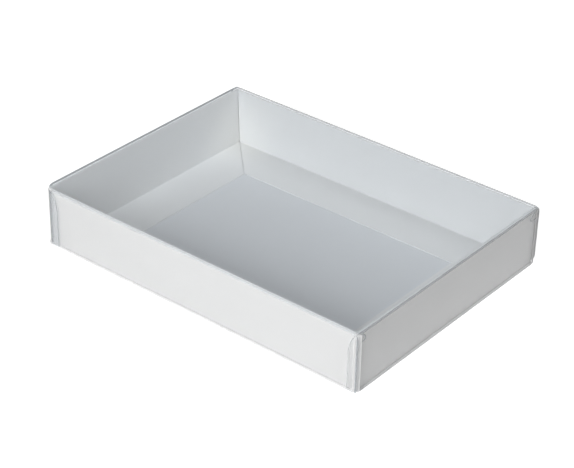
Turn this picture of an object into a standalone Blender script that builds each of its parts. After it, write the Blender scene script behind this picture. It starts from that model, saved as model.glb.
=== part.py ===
"""A hamper box: a white paperboard tray with rolled-over double walls, under a folded clear lid.

Both halves are die-cut blanks. Every panel between two creases is an object of its own here, and
neighbours across a crease, or lying on each other, keep FOLD_GAP between them.

Metres, Z up. The origin is on the ground under the middle of the box. X runs along the long walls,
and the front wall faces -Y. A panel is drawn flat, with its outer face towards -Y, scored across at
each fold and rolled round it, then turned to its side of the box.
"""

from math import cos, pi, radians, sin

import bmesh
import bpy
from mathutils import Vector

# Stock: the coated board of the tray and the clear plastic sheet of the lid
BOARD = 0.0005
SHEET = 0.0003
FOLD_GAP = 0.0003
BOARD_BEND = 0.0003
SHEET_BEND = 0.0003

# Tray, outside sizes
TRAY_LENGTH = 0.295
TRAY_WIDTH = 0.218
TRAY_HEIGHT = 0.0480

# Inner walls: the fold springs their feet away from the outer walls, further behind a corner tab
LONG_WALL_LEAN = 0.0025
SHORT_WALL_LEAN = 0.0040
INNER_CORNER_CLEARANCE = 0.0005

# Floor flaps: the free ends of the rolled-over walls, mitred to lie on the floor as a frame
FLAP_DEPTH = 0.038
FLAP_END_RELIEF = 0.0010
FLAP_MITRE_CLEARANCE = 0.0004

# Corner tabs of the tray: the ends of the long walls, held inside the short double walls
CORNER_TAB_LENGTH = 0.030
CORNER_TAB_TAPER = 0.005

# Lid: a clear top with four skirts, joined at the corners by glued tabs
LID_CLEARANCE = 0.0020
LID_GROUND_CLEARANCE = 0.0004
LID_CORNER_RADIUS = 0.0040
LONG_SKIRT_END_INSET = 0.0005
LONG_SKIRT_ROUNDING = 0.0055
SHORT_SKIRT_ROUNDING = 0.0030
LID_TAB_REACH = 0.0080
LID_TAB_DROP = 0.0045
LID_TAB_TAPER = 0.0150
LID_TAB_FOOT_RISE = 0.0035
LID_TAB_FOOT_WIDTH = 0.0045

# Facets of a quarter turn, on a crease and on a rounded outline
CREASE_STEPS = 4
ROUND_STEPS = 8
SHARP_ANGLE = radians(32)

# What follows from the sizes above
BOARD_FOLD = BOARD + BOARD_BEND
SHEET_FOLD = SHEET + SHEET_BEND
LONG_WALL = 2 * BOARD + FOLD_GAP
SHORT_WALL = 3 * BOARD + 2 * FOLD_GAP
RIM_FOLD = LONG_WALL / 2
RIM_FOOT = TRAY_HEIGHT - RIM_FOLD
WALL_TOP = RIM_FOOT - FOLD_GAP
FLAP_UNDERSIDE = BOARD + FOLD_GAP
FLAP_TOP = FLAP_UNDERSIDE + BOARD
INNER_WALL_FOOT = FLAP_TOP + FOLD_GAP
FOOT_HALF_LENGTH = TRAY_LENGTH / 2 - SHORT_WALL - SHORT_WALL_LEAN
FOOT_HALF_WIDTH = TRAY_WIDTH / 2 - LONG_WALL - LONG_WALL_LEAN
LID_OVERHANG = LID_CLEARANCE + SHEET
LID_LENGTH = TRAY_LENGTH + 2 * LID_OVERHANG
LID_WIDTH = TRAY_WIDTH + 2 * LID_OVERHANG
LID_HEIGHT = TRAY_HEIGHT + FOLD_GAP + SHEET
SKIRT_TOP = LID_HEIGHT - SHEET_FOLD
TAB_BURIAL = SHEET + FOLD_GAP
TAB_FOLD_START = TAB_BURIAL + LID_CORNER_RADIUS

WHITE_BOARD = (0.79, 0.80, 0.79, 1.0)
CLEAR_SHEET = (0.93, 0.95, 0.96, 1.0)

X, Y, Z = Vector((1, 0, 0)), Vector((0, 1, 0)), Vector((0, 0, 1))
TURN = {"front": 0, "right": pi / 2, "back": pi, "left": -pi / 2}


def clear_scene():
    for obj in list(bpy.data.objects):
        bpy.data.objects.remove(obj, do_unlink=True)


def finish(name, colour, roughness, transmission):
    """The piece's own Principled finish."""
    material = bpy.data.materials.new(name + "_finish")
    material.use_nodes = True
    shader = material.node_tree.nodes["Principled BSDF"]
    shader.inputs["Base Color"].default_value = colour
    shader.inputs["Metallic"].default_value = 0
    shader.inputs["Roughness"].default_value = roughness
    shader.inputs["Transmission Weight"].default_value = transmission
    return material


def board(name):
    return finish(name, WHITE_BOARD, roughness=0.42, transmission=0)


def clear(name):
    return finish(name, CLEAR_SHEET, roughness=0.06, transmission=0.9)


def slab(outline, thickness):
    """A flat closed panel: the outline, and the same outline moved by the thickness vector."""
    bm = bmesh.new()
    face = bm.faces.new([bm.verts.new(point) for point in outline])
    grown = bmesh.ops.extrude_face_region(bm, geom=[face])
    moved = [item for item in grown["geom"] if isinstance(item, bmesh.types.BMVert)]
    bmesh.ops.translate(bm, verts=moved, vec=thickness)
    bmesh.ops.recalc_face_normals(bm, faces=bm.faces)
    return bm


def upright(outline, thickness):
    """A panel standing in the XZ plane, with its outer face at y = 0."""
    return slab([Vector((x, 0, z)) for x, z in outline], Y * thickness)


def lying(outline, thickness):
    """A panel lying in the XY plane, with its lower face at z = 0."""
    return slab([Vector((x, y, 0)) for x, y in outline], Z * thickness)


def rectangle(half_length, low, high):
    return [(-half_length, low), (half_length, low), (half_length, high), (-half_length, high)]


def round_edges(bm, picked, radius, steps):
    """Rounds the edges through the thickness of a flat panel whose middle the test picks."""
    edges = [e for e in bm.edges if picked((e.verts[0].co + e.verts[1].co) / 2, e)]
    bmesh.ops.bevel(
        bm, geom=edges, offset=radius, segments=steps, profile=0.5, affect="EDGES"
    )


def through(edge, direction):
    """Whether an edge runs along this direction."""
    run = edge.verts[1].co - edge.verts[0].co
    return abs(run.normalized().dot(direction)) > 0.9


def roll(bm, crease, along, inward, radius, steps=CREASE_STEPS):
    """Scores the panel across beyond the crease, and rolls what lies there a quarter turn inward.

    The radius is that of the outer face. What lies past the quarter turn runs on straight.
    """
    for step in range(steps + 1):
        bmesh.ops.bisect_plane(
            bm,
            geom=bm.verts[:] + bm.edges[:] + bm.faces[:],
            dist=FOLD_GAP / 1000,
            plane_co=crease + along * (radius * pi / 2 * step / steps),
            plane_no=along,
        )
    for vert in bm.verts:
        past = (vert.co - crease).dot(along)
        if past <= 0:
            continue
        depth = (vert.co - crease).dot(inward)
        angle = min(past / radius, pi / 2)
        straight = max(past - radius * pi / 2, 0)
        reach = (radius - depth) * sin(angle)
        turned = radius - (radius - depth) * cos(angle) + straight
        vert.co += along * (reach - past) + inward * (turned - depth)


def mitre(bm, corner, across, normal):
    """Cuts off what lies beyond the upright plane through corner, on the side of normal."""
    cut = bmesh.ops.bisect_plane(
        bm,
        geom=bm.verts[:] + bm.edges[:] + bm.faces[:],
        dist=FOLD_GAP / 1000,
        plane_co=corner - normal * across,
        plane_no=normal,
        clear_outer=True,
    )
    edges = [item for item in cut["geom_cut"] if isinstance(item, bmesh.types.BMEdge)]
    bmesh.ops.edgeloop_fill(bm, edges=edges)
    bmesh.ops.recalc_face_normals(bm, faces=bm.faces)


def mirror_x(bm):
    bmesh.ops.scale(bm, verts=bm.verts, vec=Vector((-1, 1, 1)))
    bmesh.ops.recalc_face_normals(bm, faces=bm.faces)


def place(name, bm, material, side="front", half_depth=0, offset=Vector((0, 0, 0)), parent=None):
    """Makes the object, turned to its side of the box, half_depth from the middle."""
    mesh = bpy.data.meshes.new(name)
    bm.to_mesh(mesh)
    bm.free()
    mesh.shade_smooth()
    mesh.set_sharp_from_angle(angle=SHARP_ANGLE)
    mesh.materials.append(material)
    obj = bpy.data.objects.new(name, mesh)
    bpy.context.scene.collection.objects.link(obj)
    obj.rotation_euler[2] = TURN[side]
    local = offset - Y * half_depth
    local.rotate(obj.rotation_euler)
    obj.location = local
    obj.parent = parent
    return obj


def is_long(side):
    return side in ("front", "back")


def tray_floor():
    inset = BOARD_FOLD + FOLD_GAP
    half_width = TRAY_WIDTH / 2 - inset
    outline = rectangle(TRAY_LENGTH / 2 - inset, -half_width, half_width)
    place("floor_panel", lying(outline, BOARD), board("floor_panel"))


def outer_wall(side):
    """An outer wall, with the bend that joins it to the floor at its foot."""
    if is_long(side):
        half = TRAY_LENGTH / 2 - BOARD - FOLD_GAP - BOARD_FOLD - FOLD_GAP
        depth = TRAY_WIDTH / 2
    else:
        half = TRAY_WIDTH / 2
        depth = TRAY_LENGTH / 2
    foot = BOARD_FOLD - BOARD_FOLD * pi / 2
    bm = upright(rectangle(half, foot, WALL_TOP), BOARD)
    roll(bm, Z * BOARD_FOLD, -Z, Y, BOARD_FOLD)
    name = side + "_outer_wall"
    place(name, bm, board(name), side, depth)


def rim(side):
    """The narrow strip between the double creases on top of a wall, mitred at its ends."""
    long_side = is_long(side)
    half = (TRAY_LENGTH if long_side else TRAY_WIDTH) / 2
    depth = (TRAY_WIDTH if long_side else TRAY_LENGTH) / 2
    wall, other = (LONG_WALL, SHORT_WALL) if long_side else (SHORT_WALL, LONG_WALL)
    spare = RIM_FOLD * pi / 2 - RIM_FOLD
    flat = wall + 2 * spare
    bm = slab(
        [
            Vector((-half, -spare, TRAY_HEIGHT)),
            Vector((half, -spare, TRAY_HEIGHT)),
            Vector((half, flat - spare, TRAY_HEIGHT)),
            Vector((-half, flat - spare, TRAY_HEIGHT)),
        ],
        -Z * BOARD,
    )
    top = Z * TRAY_HEIGHT
    roll(bm, top + Y * RIM_FOLD, -Y, -Z, RIM_FOLD)
    roll(bm, top + Y * (wall - RIM_FOLD), Y, -Z, RIM_FOLD)
    for end in (-1, 1):
        normal = Vector((end * wall, other, 0)).normalized()
        mitre(bm, Vector((end * half, 0, 0)), FOLD_GAP / 2, normal)
    name = side + "_rim"
    place(name, bm, board(name), side, depth)


def corner_tab(side, end):
    """The tab on one end of a long outer wall, folded in behind the short outer wall."""
    fold_start = TRAY_LENGTH / 2 - BOARD - FOLD_GAP - BOARD_FOLD
    length = BOARD_FOLD * pi / 2 + CORNER_TAB_LENGTH
    low, high = BOARD_FOLD, WALL_TOP
    bm = upright(
        [
            (fold_start, low),
            (fold_start + length, low),
            (fold_start + length, high),
            (fold_start, high),
        ],
        BOARD,
    )
    tip = fold_start + length
    round_edges(
        bm,
        lambda middle, edge: through(edge, Y) and middle.x > tip - BOARD,
        CORNER_TAB_TAPER,
        1,
    )
    roll(bm, X * fold_start, X, Y, BOARD_FOLD)
    if end == "left":
        mirror_x(bm)
    corner = end if side == "front" else {"left": "right", "right": "left"}[end]
    name = f"{side}_{corner}_corner_tab"
    place(name, bm, board(name), side, TRAY_WIDTH / 2)


def inner_wall(side):
    """An inner wall: it hangs from the rim, leaning in to the foot where its flap is creased on.

    A long one stands between the two short ones, so its ends slope as those lean.
    """
    if is_long(side):
        foot_half = FOOT_HALF_LENGTH - INNER_CORNER_CLEARANCE
        top_half = foot_half + SHORT_WALL_LEAN
        depth = TRAY_WIDTH / 2 - LONG_WALL + BOARD
        lean = LONG_WALL_LEAN
    else:
        foot_half = top_half = TRAY_WIDTH / 2 - BOARD - FOLD_GAP
        depth = TRAY_LENGTH / 2 - SHORT_WALL + BOARD
        lean = SHORT_WALL_LEAN
    outline = [
        (-foot_half, INNER_WALL_FOOT),
        (foot_half, INNER_WALL_FOOT),
        (top_half, WALL_TOP),
        (-top_half, WALL_TOP),
    ]
    bm = upright(outline, BOARD)
    for vert in bm.verts:
        if vert.co.z < RIM_FOOT / 2:
            vert.co.y += lean
    name = side + "_inner_wall"
    place(name, bm, board(name), side, depth)


def floor_flap(side):
    """A floor flap, with its origin on its crease: the top edge of the flap at the wall's foot."""
    if is_long(side):
        corner, depth = FOOT_HALF_LENGTH, FOOT_HALF_WIDTH
    else:
        corner, depth = FOOT_HALF_WIDTH, FOOT_HALF_LENGTH
    near, far = FOLD_GAP, FLAP_DEPTH
    crease_end = corner - FLAP_END_RELIEF
    free_end = corner - far - FLAP_MITRE_CLEARANCE
    turn_in = FLAP_END_RELIEF - FLAP_MITRE_CLEARANCE
    outline = [
        (-crease_end, 0),
        (crease_end, 0),
        (crease_end, turn_in - near),
        (free_end, far - near),
        (-free_end, far - near),
        (-crease_end, turn_in - near),
    ]
    bm = lying(outline, BOARD)
    bmesh.ops.translate(bm, verts=bm.verts, vec=-Z * BOARD)
    name = side + "_floor_flap"
    place(name, bm, board(name), side, depth - near, offset=Z * FLAP_TOP)


def lid_top(lid):
    inset = SHEET_FOLD + FOLD_GAP
    half_width = LID_WIDTH / 2 - inset
    bm = lying(rectangle(LID_LENGTH / 2 - inset, -half_width, half_width), SHEET)
    place("lid_top", bm, clear("lid_top"), offset=Z * (LID_HEIGHT - SHEET), parent=lid)


def long_skirt(side, lid):
    """A long skirt: it closes over the corner tabs, and its lower corners are rounded."""
    half = LID_LENGTH / 2 - LONG_SKIRT_END_INSET
    top = SKIRT_TOP + SHEET_FOLD * pi / 2
    bm = upright(rectangle(half, LID_GROUND_CLEARANCE, top), SHEET)
    round_edges(
        bm,
        lambda middle, edge: through(edge, Y) and middle.z < SKIRT_TOP / 2,
        LONG_SKIRT_ROUNDING,
        ROUND_STEPS,
    )
    roll(bm, Z * SKIRT_TOP, Z, Y, SHEET_FOLD)
    name = "lid_" + side + "_skirt"
    place(name, bm, clear(name), side, LID_WIDTH / 2, parent=lid)


def short_skirt(side, lid):
    """A short skirt: flat between its two corner tabs, with an ear over each up to the corner."""
    fold = LID_WIDTH / 2 - TAB_FOLD_START - FOLD_GAP
    ear = LID_WIDTH / 2 - SHEET_FOLD - FOLD_GAP
    foot = LID_GROUND_CLEARANCE
    ear_foot = LID_HEIGHT - LID_TAB_DROP + FOLD_GAP
    top = SKIRT_TOP + SHEET_FOLD * pi / 2
    outline = [
        (-fold, foot),
        (fold, foot),
        (fold, ear_foot),
        (ear, ear_foot),
        (ear, top),
        (-ear, top),
        (-ear, ear_foot),
        (-fold, ear_foot),
    ]
    bm = upright(outline, SHEET)
    round_edges(
        bm,
        lambda middle, edge: through(edge, Y) and middle.z < SKIRT_TOP / 2,
        SHORT_SKIRT_ROUNDING,
        ROUND_STEPS,
    )
    roll(bm, Z * SKIRT_TOP, Z, Y, SHEET_FOLD)
    name = "lid_" + side + "_skirt"
    place(name, bm, clear(name), side, LID_LENGTH / 2, parent=lid)


def lid_tab(side, end, lid):
    """A lid tab: rolled round the corner from the short skirt, and glued inside the long one.

    Its top falls away in a quarter ellipse, and its foot rises in a smaller one towards the fold.
    """
    fold_start = LID_WIDTH / 2 - TAB_FOLD_START
    length = LID_CORNER_RADIUS * pi / 2 + LID_TAB_REACH - LID_CORNER_RADIUS
    foot = LID_GROUND_CLEARANCE
    shoulder = LID_HEIGHT - LID_TAB_DROP - LID_TAB_TAPER
    outline = []
    for step in range(ROUND_STEPS + 1):
        angle = pi / 2 * step / ROUND_STEPS
        across = LID_TAB_FOOT_WIDTH * sin(angle)
        outline.append((fold_start + across, foot + LID_TAB_FOOT_RISE * cos(angle)))
    for step in range(ROUND_STEPS + 1):
        angle = pi / 2 * step / ROUND_STEPS
        across = length * cos(angle)
        outline.append((fold_start + across, shoulder + LID_TAB_TAPER * sin(angle)))
    bm = upright(outline, SHEET)
    roll(bm, X * fold_start, X, Y, LID_CORNER_RADIUS, steps=ROUND_STEPS)
    if end == "left":
        mirror_x(bm)
    corner = "front" if (side, end) in (("left", "right"), ("right", "left")) else "back"
    name = f"lid_{corner}_{side}_tab"
    place(name, bm, clear(name), side, LID_LENGTH / 2, parent=lid)


def build():
    clear_scene()
    tray_floor()
    for side in TURN:
        outer_wall(side)
        rim(side)
        inner_wall(side)
        floor_flap(side)
    for side in ("front", "back"):
        for end in ("left", "right"):
            corner_tab(side, end)
    lid = bpy.data.objects.new("lid", None)
    bpy.context.scene.collection.objects.link(lid)
    lid_top(lid)
    for side in TURN:
        (long_skirt if is_long(side) else short_skirt)(side, lid)
    for side in ("left", "right"):
        for end in ("left", "right"):
            lid_tab(side, end, lid)


build()
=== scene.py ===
from math import cos, pi, radians, sin

import bmesh
import bpy
from mathutils import Matrix, Vector


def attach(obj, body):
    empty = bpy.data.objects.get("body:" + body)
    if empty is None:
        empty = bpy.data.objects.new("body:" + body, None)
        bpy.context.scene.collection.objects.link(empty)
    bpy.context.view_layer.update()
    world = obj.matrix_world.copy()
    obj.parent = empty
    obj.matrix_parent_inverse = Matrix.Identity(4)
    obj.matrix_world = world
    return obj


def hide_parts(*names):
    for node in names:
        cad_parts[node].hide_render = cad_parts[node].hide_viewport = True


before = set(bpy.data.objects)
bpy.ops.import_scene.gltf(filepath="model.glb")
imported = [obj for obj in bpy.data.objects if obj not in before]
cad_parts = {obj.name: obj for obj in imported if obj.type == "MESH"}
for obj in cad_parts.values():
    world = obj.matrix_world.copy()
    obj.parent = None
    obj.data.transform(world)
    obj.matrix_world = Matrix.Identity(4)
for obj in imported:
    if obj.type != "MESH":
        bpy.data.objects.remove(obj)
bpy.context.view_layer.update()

bpy.ops.object.select_all(action="DESELECT")
scene = bpy.context.scene
scene.view_settings.view_transform = "Standard"


# Camera and studio
# A long lens looks down on the near right corner of the box. The box stands on a plain white
# sweep. A large soft lamp stands low in front, a weak one to the right and one high behind it.
EYE = Vector((0.74411918, -0.92643113, 0.74666573))
AZIMUTH, ELEVATION, ROLL = radians(38.88345675), radians(31.59677135), radians(1.18995563)
SENSOR_WIDTH, FOCAL_LENGTH = 36, 115.2398940
CLIP_NEAR, CLIP_FAR = 0.05, 50
LAMP_SIZE = 1.1
LAMPS = {
    "key_lamp": (Vector((0.389, -2.204, 0.997)), 41),
    "right_lamp": (Vector((2.090, -0.368, 1.225)), 3.4),
    "top_lamp": (Vector((0.518, 0.897, 2.220)), 14.7),
}
# A narrow warm lamp adds the glow that the walls throw on each other in the far corner
GLOW_PLACE, GLOW_AIM = Vector((0.950, -0.987, 1.847)), Vector((-0.139, 0.101, 0.006))
GLOW_COLOUR, GLOW_POWER, GLOW_CONE, GLOW_SIZE = (1, 0.86, 0.52), 19, 0.027, 0.012
BACKDROP_WHITE = (1, 1, 1, 1)
SKY_LOW, SKY_HIGH = (0.10, 0.10, 0.10, 1), (0.05, 0.05, 0.05, 1)
SWEEP_SIZE, SWEEP_DROP = 6.0, 0.0001
SWEEP_WHITE, SWEEP_GLOW = (0.80, 0.80, 0.80, 1), 0.76
# The floor isn't lifted to white under the box. In the narrow ring between the lid's foot and the
# tray's it glows a little, most in front, as painted light that makes the clear skirts as pale as on
# the walls
BOX_HALF_LENGTH, BOX_HALF_WIDTH, SHADE_CORNER, RING = 0.1498, 0.1113, 0.006, 0.0023
RING_GLOW, RING_GLOW_FRONT, RING_GLOW_FADE = 0.02, 0.35, 0.006

bpy.ops.object.camera_add()
camera = bpy.context.object
camera.name = "camera"
camera.matrix_world = (
    Matrix.Translation(EYE)
    @ Matrix.Rotation(AZIMUTH, 4, "Z")
    @ Matrix.Rotation(pi / 2 - ELEVATION, 4, "X")
    @ Matrix.Rotation(ROLL, 4, "Z")
)
camera.data.sensor_width = SENSOR_WIDTH
camera.data.lens = FOCAL_LENGTH
camera.data.clip_start, camera.data.clip_end = CLIP_NEAR, CLIP_FAR
scene.camera = camera


def aimed_lamp(kind, name, place, target, power):
    """A lamp at its place, turned towards its target. Returns its data, for its size and cone."""
    bpy.ops.object.light_add(type=kind, location=place)
    lamp = bpy.context.object
    lamp.name = name
    lamp.rotation_euler = (target - place).to_track_quat("-Z", "Y").to_euler()
    lamp.data.energy = power
    return lamp.data


for name, (place, power) in LAMPS.items():
    aimed_lamp("AREA", name, place, Vector((0, 0, 0)), power).size = LAMP_SIZE
glow_lamp = aimed_lamp("SPOT", "glow_lamp", GLOW_PLACE, GLOW_AIM, GLOW_POWER)
glow_lamp.color, glow_lamp.shadow_soft_size = GLOW_COLOUR, GLOW_SIZE
glow_lamp.spot_size, glow_lamp.spot_blend = GLOW_CONE, 1


def new_material(name):
    """An empty material of this name, and its node tree."""
    material = bpy.data.materials.new(name)
    material.use_nodes = True
    material.node_tree.nodes.clear()
    return material, material.node_tree


def add(tree, kind, inputs=None, **settings):
    """A shader node. An input is a value, another node's output, or a node for its first one."""
    node = tree.nodes.new("ShaderNode" + kind)
    for setting, value in settings.items():
        setattr(node, setting, value)
    for socket, source in (inputs or {}).items():
        if isinstance(source, bpy.types.Node):
            source = source.outputs[0]
        if isinstance(source, bpy.types.NodeSocket):
            tree.links.new(source, node.inputs[socket])
        else:
            node.inputs[socket].default_value = source
    return node


def seen_directly(tree):
    """1 for rays from the camera, and for those that gloss or glass sends on."""
    path = add(tree, "LightPath")
    total = path.outputs["Is Camera Ray"]
    for ray in ("Is Glossy Ray", "Is Transmission Ray"):
        total = add(tree, "Math", {0: total, 1: path.outputs[ray]}, operation="ADD", use_clamp=True)
    return total


world = bpy.data.worlds.new("studio")
world.use_nodes = True
tree = world.node_tree
tree.nodes.clear()
direction = add(tree, "TexCoord")
height = add(tree, "SeparateXYZ", {0: direction.outputs["Generated"]})
sky = add(
    tree, "Mix", {"Factor": height.outputs["Z"], "A": SKY_LOW, "B": SKY_HIGH}, data_type="RGBA"
)
soft_light = add(tree, "Background", {"Color": sky.outputs["Result"]})
white = add(tree, "Background", {"Color": BACKDROP_WHITE})
either = add(tree, "MixShader", {0: seen_directly(tree), 1: soft_light, 2: white})
add(tree, "OutputWorld", {"Surface": either})
scene.world = world

bpy.ops.mesh.primitive_plane_add(size=SWEEP_SIZE, location=(0, 0, -SWEEP_DROP))
sweep = bpy.context.object
sweep.name = "studio_floor"
sweep_paper, tree = new_material("studio_floor_paper")
paper = add(tree, "BsdfDiffuse", {"Color": SWEEP_WHITE})
where = add(tree, "TexCoord").outputs["Object"]
# How far a point is past a rectangle that is smaller than the box by the corner's radius all round
rectangle = (BOX_HALF_LENGTH - SHADE_CORNER, BOX_HALF_WIDTH - SHADE_CORNER, 1)
one_quarter = add(tree, "VectorMath", {0: where}, operation="ABSOLUTE")
outside = add(tree, "VectorMath", {0: one_quarter, 1: rectangle}, operation="SUBTRACT")
only_outside = add(tree, "VectorMath", {0: outside}, operation="MAXIMUM")
distance = add(tree, "VectorMath", {0: only_outside}, operation="LENGTH").outputs["Value"]
past_tray = add(tree, "Math", {0: distance, 1: SHADE_CORNER - RING}, operation="GREATER_THAN")
past_lid = add(tree, "Math", {0: distance, 1: SHADE_CORNER}, operation="GREATER_THAN")
ring_glow = add(tree, "MapRange", {
    "Value": add(tree, "SeparateXYZ", {0: where}).outputs["Y"],
    "From Min": RING_GLOW_FADE - BOX_HALF_WIDTH, "From Max": RING - BOX_HALF_WIDTH,
    "To Min": RING_GLOW, "To Max": RING_GLOW_FRONT,
})
ring = add(tree, "Math", {0: past_tray, 1: ring_glow}, operation="MULTIPLY")
open_floor = add(tree, "Math", {0: past_lid, 1: SWEEP_GLOW}, operation="MULTIPLY")
lit = add(tree, "Math", {0: ring, 1: open_floor}, operation="MAXIMUM")
glow = add(tree, "Emission", {"Color": BACKDROP_WHITE, "Strength": lit})
lifted = add(tree, "AddShader", {0: paper, 1: glow})
either = add(tree, "MixShader", {0: seen_directly(tree), 1: paper, 2: lifted})
add(tree, "OutputMaterial", {"Surface": either})
sweep.data.materials.append(sweep_paper)


# Tray floor
# The middle of the tray's blank: 0.5 mm paperboard, coated white on its outer face. It lies flat
# on the ground and shows its plainer, slightly cooler reverse side. Its edges are under the walls.
BACK_WHITE, BACK_SHADE, BACK_ROUGHNESS = (0.830, 0.848, 0.868, 1), (0.80, 0.82, 0.842, 1), 0.62
# Scale and detail of the coat's mottle, of the fibres and of the sheet's slow waves
MOTTLE, FIBRES, WAVES = (55, 5), (2600, 3), (14, 1)
# Strength and height of the waves and of the fibres' grain
WAVE_RELIEF, GRAIN_RELIEF = (0.25, 0.0012), (0.18, 0.00003)
SHEEN_SPREAD, BOARD_SPECULAR = 0.06, 0.35


def pattern(tree, place, scale, detail):
    return add(tree, "TexNoise", {"Vector": place, "Scale": scale, "Detail": detail})


def relief(tree, texture, strength, height):
    return add(tree, "Bump", {"Height": texture, "Strength": strength, "Distance": height})


def coated_board(name, light, shade, roughness):
    """Satin white coating on board: faint mottle, fibre grain and a slow unevenness."""
    material, tree = new_material(name)
    place = add(tree, "TexCoord").outputs["Object"]
    mottle = pattern(tree, place, *MOTTLE)
    tone = add(tree, "Mix", {"Factor": mottle, "A": light, "B": shade}, data_type="RGBA")
    sheen = add(tree, "MapRange", {
        "Value": mottle, "To Min": roughness - SHEEN_SPREAD, "To Max": roughness + SHEEN_SPREAD,
    })
    slow = relief(tree, pattern(tree, place, *WAVES), *WAVE_RELIEF)
    grain = relief(tree, pattern(tree, place, *FIBRES), *GRAIN_RELIEF)
    tree.links.new(slow.outputs[0], grain.inputs["Normal"])
    coat = add(tree, "BsdfPrincipled", {
        "Base Color": tone.outputs["Result"], "Roughness": sheen, "Normal": grain,
        "Specular IOR Level": BOARD_SPECULAR,
    })
    add(tree, "OutputMaterial", {"Surface": coat})
    return material


floor_panel = bpy.data.objects["floor_panel"]
floor_panel.material_slots[0].material = coated_board(
    "board_reverse", BACK_WHITE, BACK_SHADE, BACK_ROUGHNESS
)


# Rolled double walls
# Each wall is one strip of the same board: bent up from the floor, rolled over a double crease on
# top and let down inside, where it leans in to its foot. The long walls' ends fold in as tabs.
BOARD = 0.0005
TRAY_LENGTH, TRAY_WIDTH, TRAY_HEIGHT = 0.295, 0.218, 0.0480
# The bends at the foot and on the rim, measured on their outer face
FOOT_BEND, RIM_BEND, BEND_STEPS = 0.0008, 0.00065, 6
# A long wall is two layers thick, a short one three, with the corner tabs between
LONG_WALL, SHORT_WALL = 0.0013, 0.0021
LONG_LEAN, SHORT_LEAN = 0.0025, 0.0040
INNER_FOOT, FLOOR_REACH = 0.0014, 0.0003
TAB_LENGTH, TAB_TAPER, TAB_SLIT, TAB_PLAY = 0.030, 0.005, 0.0004, 0.0001
MITRE_GAP = 0.00012
# What is nearer than TOUCH lies in one place; a fold past SHARP keeps its edge in the light
TOUCH, SHARP = 0.00001, radians(35)
TURN = {"front": 0, "right": pi / 2, "back": pi, "left": -pi / 2}
COAT_WHITE, COAT_SHADE, COAT_ROUGHNESS = (0.845, 0.848, 0.845, 1), (0.815, 0.82, 0.82, 1), 0.46
# The bare pulp of a cut edge: its plies, and their dark and pale ends
PLIES, PLY_RELIEF = (1800, 4), (0.5, 0.00005)
PULP = ((0.3, (0.60, 0.59, 0.56, 1)), (0.7, (0.76, 0.755, 0.73, 1)))
PULP_ROUGHNESS, PULP_SPECULAR = 0.9, 0.15


def pick(piece):
    """Makes this piece the active one, and the only one selected."""
    bpy.ops.object.select_all(action="DESELECT")
    bpy.context.view_layer.objects.active = piece
    piece.select_set(True)


def plane(name, width, height, centre, turn=(0, 0, 0)):
    """A rectangle at its size and place, turned about its own middle, as a mesh at the origin."""
    bpy.ops.object.select_all(action="DESELECT")
    bpy.ops.mesh.primitive_plane_add(size=1)
    piece = bpy.context.object
    piece.name = piece.data.name = name
    piece.scale = (width, height, 1)
    piece.rotation_euler = turn
    piece.location = centre
    bpy.ops.object.transform_apply(location=True, rotation=True, scale=True)
    return piece


def edit(piece):
    pick(piece)
    bpy.ops.object.mode_set(mode="EDIT")


def done():
    bpy.ops.object.mode_set(mode="OBJECT")


def select(kind, test):
    """Selects the vertices, edges or faces all of whose corners pass the test."""
    bpy.ops.mesh.select_mode(type=kind)
    bpy.ops.mesh.select_all(action="DESELECT")
    mesh = bpy.context.object.data
    bm = bmesh.from_edit_mesh(mesh)
    parts = {"VERT": bm.verts, "EDGE": bm.edges, "FACE": bm.faces}[kind]
    for part in parts:
        corners = [part] if kind == "VERT" else part.verts
        part.select_set(all(test(corner.co) for corner in corners))
    bm.select_flush_mode()
    bmesh.update_edit_mesh(mesh)


def cut(point, normal, clear=False, fill=False, picked=False):
    """Cuts the mesh, or what is picked of it, with a plane, and can clear what lies beyond."""
    if not picked:
        bpy.ops.mesh.select_all(action="SELECT")
    bpy.ops.mesh.bisect(
        plane_co=point, plane_no=Vector(normal).normalized(),
        clear_outer=clear, use_fill=fill, threshold=TOUCH / 10,
    )


def bend(angle, centre, axis, steps=BEND_STEPS):
    bpy.ops.mesh.spin(steps=steps, angle=angle, center=centre, axis=axis)


def extend(by):
    bpy.ops.mesh.extrude_region_move(TRANSFORM_OT_translate={"value": by})


def face_outward(piece, direction):
    """Merges the doubles and turns all faces one way, the largest of them in this direction."""
    edit(piece)
    bpy.ops.mesh.select_all(action="SELECT")
    bpy.ops.mesh.remove_doubles(threshold=TOUCH)
    bpy.ops.mesh.normals_make_consistent(inside=False)
    done()
    largest = max(piece.data.polygons, key=lambda face: face.area)
    if largest.normal.dot(Vector(direction)) < 0:
        piece.data.flip_normals()


def thicken(piece, thickness, rim_slot):
    """Gives a sheet its thickness behind its outer face, and its cut edges their own finish."""
    pick(piece)
    skin = piece.modifiers.new("thickness", "SOLIDIFY")
    skin.thickness = thickness
    skin.offset = -1
    skin.use_even_offset = True
    skin.material_offset_rim = rim_slot
    bpy.ops.object.modifier_apply(modifier=skin.name)


def smooth(piece):
    pick(piece)
    bpy.ops.object.shade_smooth_by_angle(angle=SHARP)


def turned(piece, side):
    """Turns a piece that is modelled at the front to its side of the box."""
    pick(piece)
    piece.rotation_euler = (0, 0, TURN[side])
    bpy.ops.object.transform_apply(location=False, rotation=True, scale=False)


board_face = coated_board("coated_board", COAT_WHITE, COAT_SHADE, COAT_ROUGHNESS)
board_edge, tree = new_material("board_cut_edge")
plies = pattern(tree, add(tree, "TexCoord").outputs["Object"], *PLIES)
pulp = add(tree, "ValToRGB", {"Fac": plies})
for stop, (position, colour) in zip(pulp.color_ramp.elements, PULP):
    stop.position, stop.color = position, colour
raw = add(tree, "BsdfPrincipled", {
    "Base Color": pulp, "Roughness": PULP_ROUGHNESS, "Specular IOR Level": PULP_SPECULAR,
    "Normal": relief(tree, plies, *PLY_RELIEF),
})
add(tree, "OutputMaterial", {"Surface": raw})


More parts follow.
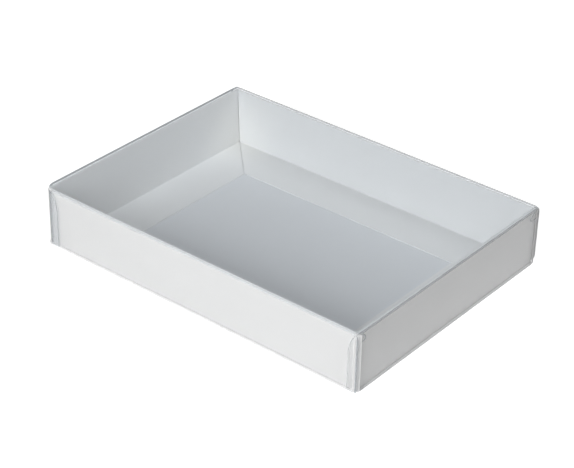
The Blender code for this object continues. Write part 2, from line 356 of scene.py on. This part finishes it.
def rolled_wall(side, half, depth, wall, other_wall, lean, tab):
    """One wall's strip, modelled at the front: half its length, and depth from the box's middle."""
    rim_foot = TRAY_HEIGHT - RIM_BEND
    slit = rim_foot - TAB_SLIT
    piece = plane(
        side + "_rolled_wall", 2 * half, rim_foot - FOOT_BEND,
        (0, -depth, (rim_foot + FOOT_BEND) / 2), (pi / 2, 0, 0),
    )
    edit(piece)
    fold = half - BOARD - TAB_PLAY - FOOT_BEND if tab else half - FOOT_BEND
    for end in (-1, 1):
        cut((end * fold, 0, 0), (end, 0, 0))
    if tab:
        cut((0, 0, slit), (0, 0, 1))
        for end in (-1, 1):
            select("FACE", lambda p: end * p.x > fold - TOUCH and p.z < slit + TOUCH)
            bpy.ops.mesh.delete(type="FACE")
            select("EDGE", lambda p: abs(end * p.x - fold) < TOUCH and p.z < slit + TOUCH)
            bend(-end * pi / 2, (end * fold, -depth + FOOT_BEND, 0), (0, 0, 1))
            extend((0, TAB_LENGTH, 0))
            tip = -depth + FOOT_BEND + TAB_LENGTH
            select("VERT", lambda p: end * p.x > 0 and p.y > tip - TOUCH)
            bpy.ops.mesh.bevel(offset=TAB_TAPER, segments=1, affect="VERTICES")
    select(
        "EDGE",
        lambda p: p.z < FOOT_BEND + TOUCH and abs(p.x) < fold + TOUCH and p.y < TOUCH - depth,
    )
    bend(-pi / 2, (0, -depth + FOOT_BEND, FOOT_BEND), (1, 0, 0))
    extend((0, FLOOR_REACH, 0))
    select("EDGE", lambda p: p.z > rim_foot - TOUCH)
    bend(pi / 2, (0, -depth + RIM_BEND, rim_foot), (1, 0, 0))
    if wall - 2 * RIM_BEND > TOUCH:
        extend((0, wall - 2 * RIM_BEND, 0))
    bend(pi / 2, (0, -depth + wall - RIM_BEND, rim_foot), (1, 0, 0))
    extend((0, lean, INNER_FOOT - rim_foot))
    for end in (-1, 1):
        across = Vector((end * wall, other_wall, 0)).normalized()
        corner = Vector((end * half, -depth, 0)) - across * MITRE_GAP
        if tab:
            select("FACE", lambda p: abs(p.x) < fold + TOUCH or p.z > slit - TOUCH)
        cut(corner, across, clear=True, picked=tab)
    done()
    face_outward(piece, (0, -1, 0))
    piece.data.materials.append(board_face)
    piece.data.materials.append(board_edge)
    thicken(piece, BOARD, rim_slot=1)
    smooth(piece)
    turned(piece, side)
    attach(piece, "tray")
    nodes_here = [side + part for part in ("_outer_wall", "_rim", "_inner_wall")]
    if tab:
        nodes_here += [f"{side}_{end}_corner_tab" for end in ("left", "right")]
    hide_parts(*nodes_here)


for side in ("front", "back"):
    rolled_wall(side, TRAY_LENGTH / 2, TRAY_WIDTH / 2, LONG_WALL, SHORT_WALL, LONG_LEAN, tab=True)
for side in ("right", "left"):
    rolled_wall(side, TRAY_WIDTH / 2, TRAY_LENGTH / 2, SHORT_WALL, LONG_WALL, SHORT_LEAN, tab=False)


# Floor flaps
# The free ends of the rolled-over walls, in the same board: each lies on the floor and is mitred at
# 45 degrees to meet its neighbours. It swings on the bead of its crease, at its inner wall's foot.
FLAP_DEPTH, FLAP_TOP, FLAP_SAG = 0.038, 0.0013, 0.00026
FLAP_END_RELIEF, FLAP_MITRE_GAP, CREASE_GAP = 0.0010, 0.0002, 0.0003
CREASE_BEAD, BEAD_SIDES = 0.00028, 20
LONG_FOOT = TRAY_WIDTH / 2 - LONG_WALL - LONG_LEAN
SHORT_FOOT = TRAY_LENGTH / 2 - SHORT_WALL - SHORT_LEAN
# The flaps' coat is the walls' board painted lighter: painted light on the floor strips
FLAP_WHITE_PAINTED_LIGHTER, FLAP_SHADE_PAINTED_LIGHTER = (0.905, 0.908, 0.902, 1), (0.875, 0.88, 0.878, 1)


def join(pieces, whole):
    """Makes these pieces part of one whole."""
    pick(whole)
    for piece in pieces:
        piece.select_set(True)
    bpy.ops.object.join()


flap_face_painted_lighter = coated_board("coated_board_flaps_painted_lighter", FLAP_WHITE_PAINTED_LIGHTER, FLAP_SHADE_PAINTED_LIGHTER, COAT_ROUGHNESS)
for side in TURN:
    on_long_side = side in ("front", "back")
    foot, corner = (LONG_FOOT, SHORT_FOOT) if on_long_side else (SHORT_FOOT, LONG_FOOT)
    crease, depth = foot - CREASE_GAP, FLAP_DEPTH - CREASE_GAP
    half_crease = corner - FLAP_END_RELIEF
    flap = plane(side + "_flap_panel", 2 * corner, depth, (0, -crease + depth / 2, FLAP_TOP))
    edit(flap)
    for end in (-1, 1):
        across = Vector((end, 1, 0)).normalized()
        cut(Vector((end * corner, -foot, 0)) - across * FLAP_MITRE_GAP, across, clear=True)
        cut((end * half_crease, 0, 0), (end, 0, 0), clear=True)
    select("VERT", lambda p: p.y > depth - crease - TOUCH)
    bpy.ops.transform.translate(value=(0, 0, -FLAP_SAG))
    done()
    flap.data.materials.append(flap_face_painted_lighter)
    thicken(flap, BOARD, rim_slot=0)
    bpy.ops.object.select_all(action="DESELECT")
    bpy.ops.mesh.primitive_cylinder_add(
        vertices=BEAD_SIDES, radius=CREASE_BEAD, depth=2 * half_crease,
        location=(0, -crease, FLAP_TOP), rotation=(0, pi / 2, 0),
    )
    bead = bpy.context.object
    bead.data.materials.append(flap_face_painted_lighter)
    join([bead], flap)
    smooth(flap)
    turned(flap, side)
    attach(flap, side + "_flap")
    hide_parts(side + "_floor_flap")


# Clear lid
# One blank of 0.3 mm clear plastic: a top with four skirts folded down. The short skirts' ends are
# rolled round the corners as tabs and glued inside the long skirts.
SHEET, GLUE_GAP = 0.0003, 0.00005
LID_LENGTH, LID_WIDTH, LID_HEIGHT = 0.2996, 0.2226, 0.0486
LID_BEND, LID_FOOT = 0.0006, 0.0004
LID_STEPS, CORNER_STEPS = 5, 10
OUTWARD = {"front": (0, -1), "right": (1, 0), "back": (0, 1), "left": (-1, 0)}
# The radius of each rolled corner, and how far in from the side the long skirt ends and the tab does
CORNERS = {
    (-1, -1): (0.0084, 0.0062, 0.0132),
    (1, -1): (0.0040, 0.0002, 0.0085),
    (1, 1): (0.0034, 0.0005, 0.0080),
    (-1, 1): (0.0040, 0.0005, 0.0080),
}
# The bends of each rolled corner: as round as its radius, or tighter with a flat between them
CORNER_BENDS = {(-1, -1): 0.0084, (1, -1): 0.0006, (1, 1): 0.0034, (-1, 1): 0.0040}
# How much each corner of the top and each lower corner of the long skirts is rounded
TOP_CORNERS = {(-1, -1): 0.0080, (1, -1): 0.0012, (1, 1): 0.0030, (-1, 1): 0.0012}
SKIRT_CORNERS = {(-1, -1): 0.0055, (1, -1): 0.0012, (1, 1): 0.0055, (-1, 1): 0.0055}
# How far each crease's white band reaches over the top, and down the skirt. The white is partly
# the bend's own and partly painted light and shade: lighter in front, greyer on the other sides
CREASE_BANDS_PAINTED = {
    "front": (0.0007, 0.0012), "right": (0.0007, 0.0003),
    "back": (0.0022, 0.0007), "left": (0.0022, 0.0007),
}
# The strip at each end of the long skirts, and its finish: painted shade along the cut end, and
# at the far right corner the painted shade seen through the rolled fold
SKIRT_ENDS = {
    (-1, -1): (0.0004, "thin edge"), (1, -1): (0.0012, "edge"),
    (1, 1): (0.0046, "far fold"), (-1, 1): (0.0004, "thin edge"),
}
# The tabs: a rounded foot, and a curved end that falls from its peak to the shoulder. The margin
# takes in the corners of the curve's chords, which lie just outside it.
TAB_TOP, TAB_FOOT, TAB_SHOULDER, TAB_EDGE = 0.0478, 0.0030, 0.0292, 0.0004
TAB_PEAKS = {(-1, -1): 0.0457, (1, -1): 0.0470, (1, 1): 0.0470, (-1, 1): 0.0457}
CURVE_MARGIN = 1.02
# The finishes of each tab's edge, flat and fold. The edges are painted darker, as shade along
# the tab's outline; two folds are painted white as a highlight, the far right one grey as shade
TAB_FINISHES = {
    (-1, -1): ("edge", "pressed", "pressed"), (1, -1): ("thin edge", "film", "fold"),
    (1, 1): ("thin edge", "film", "far fold"), (-1, 1): ("thin edge", "film", "fold"),
}
# The ridge of the ear that the sheet is pressed into beside three of the corners: part of an
# ellipse on a slant, its middle behind the fold
EAR_IN, EAR_DOWN, EAR_TILT = 0.0020, 0.0042, radians(14.6)
EAR_SHORT, EAR_RIDGE = 0.0033, 0.00022
EAR_STEPS, RIDGE_STEPS = 48, 8
EAR_LENGTHS = {(1, -1): 0.0070, (1, 1): 0.0098, (-1, 1): 0.0098}
# The gloss of the sheet, and the rubs that dull it and make its painted white and grey uneven
FILM_IOR, FILM_ROUGHNESS, GLOSS_WHITE = 1.5, 0.04, (1, 1, 1, 1)
RUBS, RUBS_FROM, RUBS_TO, RUBS_DULL = (90, 6), 0.45, 0.8, 0.12
HAZE_SPREAD, HAZE_THINNER, HAZE_THICKER = 0.07, 0.002, 0.006


def clear_film(name, tint, painted_haze=0, white=(0.85, 0.87, 0.89, 1)):
    """Clear sheet: tinted where light passes, glossy by its angle, hazed with painted light and
    shade.
    """
    material, tree = new_material(name)
    rubs = pattern(tree, add(tree, "TexCoord").outputs["Object"], *RUBS)
    dull = add(tree, "MapRange", {
        "Value": rubs, "From Min": RUBS_FROM, "From Max": RUBS_TO,
        "To Min": FILM_ROUGHNESS, "To Max": FILM_ROUGHNESS + RUBS_DULL,
    })
    through = add(tree, "BsdfTransparent", {"Color": tint})
    gloss = add(tree, "BsdfGlossy", {"Color": GLOSS_WHITE, "Roughness": dull})
    angle = add(tree, "Fresnel", {"IOR": FILM_IOR})
    inner_face = add(tree, "NewGeometry").outputs["Backfacing"]
    outer_face = add(tree, "Math", {0: 1, 1: inner_face}, operation="SUBTRACT")
    shine = add(tree, "Math", {0: angle, 1: outer_face}, operation="MULTIPLY")
    clear = add(tree, "MixShader", {0: shine, 1: through, 2: gloss})
    haze = add(tree, "BsdfDiffuse", {"Color": white})
    uneven_painted_haze = add(tree, "MapRange", {
        "Value": rubs,
        "To Min": max(painted_haze * (1 - HAZE_SPREAD) - HAZE_THINNER, 0),
        "To Max": painted_haze * (1 + HAZE_SPREAD) + HAZE_THICKER,
    })
    whole = add(tree, "MixShader", {0: uneven_painted_haze, 1: clear, 2: haze})
    add(tree, "OutputMaterial", {"Surface": whole})
    return material


NEUTRAL, HAZY, COOL = (0.985, 0.986, 0.987, 1), (0.96, 0.97, 0.975, 1), (0.978, 0.985, 0.992, 1)
finishes = {
    "film": clear_film("clear_film", NEUTRAL),
    # Painted cool light from above: the top is tinted bluer than the skirts of the same sheet
    "top": clear_film("clear_film_top_painted_cool_light", (0.976, 0.988, 0.998, 1)),
    # The creases: partly the bend's own white, partly painted light in front and painted shade on
    # the right, back and left
    "front": clear_film("film_crease_front_painted_light", (0.97, 0.98, 0.99, 1), 0.12, (0.92, 0.93, 0.94, 1)),
    "right": clear_film("film_crease_right_painted_shade", (0.88, 0.90, 0.92, 1), 0.5, (0.68, 0.69, 0.71, 1)),
    "back": clear_film("film_crease_back_painted_shade", HAZY, 0.4, (0.86, 0.88, 0.90, 1)),
    "left": clear_film("film_crease_left_painted_shade", (0.80, 0.82, 0.84, 1), 0.6, (0.62, 0.65, 0.68, 1)),
    # Painted highlight: the near rolled folds are hazed white
    "fold": clear_film("film_rolled_fold_painted_highlight", HAZY, 0.85, (0.96, 0.96, 0.96, 1)),
    # Painted shade: the far rolled fold is hazed grey, for the shade seen through it
    "far fold": clear_film("film_far_fold_painted_shade", (0.90, 0.91, 0.92, 1), 0.85, (0.92, 0.92, 0.92, 1)),
    "pressed": clear_film("film_pressed_corner", COOL, 0.10, (0.90, 0.92, 0.94, 1)),
    # Painted shade along the cut edges, the tab outlines and the ear ridges
    "edge": clear_film("film_cut_edge_painted_shade", (0.74, 0.77, 0.79, 1), 0.35, (0.50, 0.52, 0.54, 1)),
    "thin edge": clear_film("film_thin_edge_painted_shade", (0.88, 0.90, 0.91, 1), 0.3, (0.70, 0.73, 0.75, 1)),
}
half_x, half_y = LID_LENGTH / 2, LID_WIDTH / 2
top_x, top_y, crease_z = half_x - LID_BEND, half_y - LID_BEND, LID_HEIGHT - LID_BEND


def finish_picked(name):
    """Gives the selected faces this finish of the lid."""
    bpy.context.object.active_material_index = list(finishes).index(name)
    bpy.ops.object.material_slot_assign()


def sheet(name, *where):
    """A flat piece of the lid's sheet, with the lid's finishes in its slots."""
    piece = plane(name, *where)
    for finish in finishes.values():
        piece.data.materials.append(finish)
    return piece


def corner_inset(corner):
    """How far from the lid's corner both creases end."""
    return CORNERS[corner][0] + SHEET + GLUE_GAP


def score_insets(corner):
    """Scores the whole mesh across where the two creases of this corner end."""
    sx, sy = corner
    cut((sx * (half_x - corner_inset(corner)), 0, 0), (1, 0, 0))
    cut((0, sy * (half_y - corner_inset(corner)), 0), (0, 1, 0))


lid = sheet("clear_lid", 2 * top_x, 2 * top_y, (0, 0, LID_HEIGHT))
edit(lid)
for (sx, sy), offset in TOP_CORNERS.items():
    select("VERT", lambda p: sx * p.x > top_x - TOUCH and sy * p.y > top_y - TOUCH)
    bpy.ops.mesh.bevel(offset=offset, segments=CORNER_STEPS, affect="VERTICES")
for corner in CORNERS:
    sx, sy = corner
    score_insets(corner)
    cut((sx * (top_x - CREASE_BANDS_PAINTED["right" if sx > 0 else "left"][0]), 0, 0), (1, 0, 0))
    cut((0, sy * (top_y - CREASE_BANDS_PAINTED["back" if sy > 0 else "front"][0]), 0), (0, 1, 0))
for sy in (-1, 1):
    left_end = corner_inset((-1, sy)) - half_x
    right_end = half_x - corner_inset((1, sy))
    select(
        "EDGE",
        lambda p: abs(sy * p.y - top_y) < TOUCH and p.z > LID_HEIGHT - TOUCH
        and left_end - TOUCH < p.x < right_end + TOUCH,
    )
    bend(sy * pi / 2, (0, sy * top_y, crease_z), (1, 0, 0), LID_STEPS)
for sx in (1, -1):
    front_end = corner_inset((sx, -1)) - half_y
    back_end = half_y - corner_inset((sx, 1))
    select(
        "EDGE",
        lambda p: abs(sx * p.x - top_x) < TOUCH and p.z > LID_HEIGHT - TOUCH
        and front_end - TOUCH < p.y < back_end + TOUCH,
    )
    bend(-sx * pi / 2, (sx * top_x, 0, crease_z), (0, 1, 0), LID_STEPS)
bpy.ops.mesh.select_all(action="SELECT")
finish_picked("top")
done()

parts = []
for sy, side in ((-1, "front"), (1, "back")):
    left_end = CORNERS[-1, sy][1] - half_x
    right_end = half_x - CORNERS[1, sy][1]
    skirt = sheet(
        "long_skirt", right_end - left_end, crease_z - LID_FOOT,
        ((left_end + right_end) / 2, sy * half_y, (crease_z + LID_FOOT) / 2),
        (pi / 2, 0, TURN[side]),
    )
    edit(skirt)
    for sx in (-1, 1):
        top_inset = corner_inset((sx, sy)) - CORNERS[sx, sy][1]
        select("VERT", lambda p: sx * p.x > 0 and p.z > crease_z - TOUCH)
        bpy.ops.mesh.bevel(offset=top_inset, segments=CORNER_STEPS, affect="VERTICES")
        select("VERT", lambda p: sx * p.x > half_x / 2 and p.z < LID_FOOT + TOUCH)
        bpy.ops.mesh.bevel(
            offset=SKIRT_CORNERS[sx, sy], segments=CORNER_STEPS, affect="VERTICES"
        )
    for sx, end in ((-1, left_end), (1, right_end)):
        width, finish = SKIRT_ENDS[sx, sy]
        cut((end - sx * width, 0, 0), (1, 0, 0))
        select("FACE", lambda p: sx * (p.x - end) > -width - TOUCH)
        finish_picked(finish)
    done()
    parts.append(skirt)
for sx, side in ((1, "right"), (-1, "left")):
    front_end = corner_inset((sx, -1)) - half_y
    back_end = half_y - corner_inset((sx, 1))
    skirt = sheet(
        "short_skirt", back_end - front_end, crease_z - LID_FOOT,
        (sx * half_x, (front_end + back_end) / 2, (crease_z + LID_FOOT) / 2),
        (pi / 2, 0, TURN[side]),
    )
    parts.append(skirt)

# Each tab: its flat, the fold that rolls it round the corner, and its curved outline. The heights
# at which the curve meets the short skirt are kept, so that the skirt can be scored there too.
seam_heights = set()
for (sx, sy), (radius, skirt_end, reach) in CORNERS.items():
    flat_y = sy * (half_y - SHEET - GLUE_GAP)
    tab = sheet(
        "corner_tab", reach - radius, TAB_TOP - LID_FOOT,
        (sx * (half_x - (reach + radius) / 2), flat_y, (TAB_TOP + LID_FOOT) / 2),
        (pi / 2, 0, TURN["front" if sy < 0 else "back"]),
    )
    edit(tab)
    cut((sx * (half_x - reach + TAB_EDGE), 0, 0), (1, 0, 0))
    select("EDGE", lambda p: abs(sx * p.x - (half_x - radius)) < TOUCH)
    bend_radius = CORNER_BENDS[sx, sy]
    flat_run = radius - bend_radius
    start = (sx * (half_x - radius), flat_y - sy * bend_radius, 0)
    bend(sx * sy * pi / 4, start, (0, 0, 1), CORNER_STEPS // 2)
    if flat_run > TOUCH:
        extend((sx * flat_run, -sy * flat_run, 0))
    end = (sx * (half_x - bend_radius), flat_y - sy * radius, 0)
    bend(sx * sy * pi / 4, end, (0, 0, 1), CORNER_STEPS // 2)
    edge_finish, flat_finish, fold_finish = TAB_FINISHES[sx, sy]
    bpy.ops.mesh.select_all(action="SELECT")
    finish_picked(edge_finish)
    for margin in (TAB_EDGE, 0):
        across, fall = reach - skirt_end - margin, TAB_PEAKS[sx, sy] - TAB_SHOULDER - margin
        for step in range(CORNER_STEPS):
            angle = pi / 2 * (step + 0.5) / CORNER_STEPS
            curve_x = sx * (half_x - skirt_end - across * cos(angle))
            curve_z = TAB_SHOULDER + fall * sin(angle)
            away = (-sx * cos(angle) / across, 0, sin(angle) / fall)
            cut((curve_x, 0, curve_z), away, clear=margin == 0)
        if margin:
            select(
                "FACE",
                lambda p: sx * p.x > half_x - reach + margin - TOUCH
                and max((half_x - skirt_end - sx * p.x) / across, 0) ** 2
                + max((p.z - TAB_SHOULDER) / fall, 0) ** 2 < CURVE_MARGIN,
            )
            finish_picked(flat_finish)
    select("VERT", lambda p: p.z < LID_FOOT + TOUCH and sx * p.x < half_x - reach + TOUCH)
    bpy.ops.mesh.bevel(offset=TAB_FOOT, segments=CORNER_STEPS, affect="VERTICES")
    if fold_finish != flat_finish:
        select("FACE", lambda p: sx * p.x > half_x - radius - TOUCH)
        finish_picked(fold_finish)
    done()
    seam = [vertex.co.z for vertex in tab.data.vertices if sx * vertex.co.x > half_x - TOUCH]
    seam_heights.update(round(height, 6) for height in seam if height > LID_FOOT + TOUCH)
    parts.append(tab)

# All parts joined, and every score run through both sides of each seam so that the seams close
join(parts, lid)
edit(lid)
for corner, (width, finish) in SKIRT_ENDS.items():
    score_insets(corner)
    cut((corner[0] * (half_x - CORNERS[corner][1] - width), 0, 0), (1, 0, 0))
for height in sorted(seam_heights):
    cut((0, 0, height), (0, 0, 1))
for top_band, skirt_band in CREASE_BANDS_PAINTED.values():
    cut((0, 0, crease_z - skirt_band), (0, 0, 1))
done()
face_outward(lid, (0, 0, 1))
edit(lid)
for side, (top_band, skirt_band) in CREASE_BANDS_PAINTED.items():
    sx, sy = OUTWARD[side]
    crease = top_x if sx else top_y
    select(
        "FACE",
        lambda p: sx * p.x + sy * p.y > crease - top_band - TOUCH and p.z > crease_z - skirt_band - TOUCH,
    )
    finish_picked(side)
done()
# The sheet's cut edges all round take the thin edge's painted shade
thicken(lid, SHEET, rim_slot=list(finishes).index("thin edge"))

for (sx, sy), length in EAR_LENGTHS.items():
    bpy.ops.object.select_all(action="DESELECT")
    bpy.ops.mesh.primitive_torus_add(
        major_segments=EAR_STEPS, minor_segments=RIDGE_STEPS,
        major_radius=EAR_SHORT, minor_radius=EAR_RIDGE,
    )
    ridge = bpy.context.object
    ridge.scale = (length / EAR_SHORT, 1, 1)
    bpy.ops.object.transform_apply(location=False, rotation=False, scale=True)
    ridge.rotation_euler = (pi / 2, EAR_TILT, -sy * pi / 2)
    ridge.location = (
        sx * (half_x - SHEET - EAR_RIDGE), sy * (half_y - EAR_IN), LID_HEIGHT - EAR_DOWN,
    )
    bpy.ops.object.transform_apply(location=True, rotation=True, scale=False)
    edit(ridge)
    cut((0, sy * (half_y - corner_inset((sx, sy))), 0), (0, sy, 0), clear=True, fill=True)
    done()
    # The ridge takes the edge finish's painted shade along the pressed line
    ridge.data.materials.append(finishes["edge"])
    join([ridge], lid)
smooth(lid)
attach(lid, "lid")
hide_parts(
    "lid_top", *["lid_%s_skirt" % side for side in TURN],
    *["lid_%s_%s_tab" % (side, end) for side in ("front", "back") for end in ("left", "right")],
)
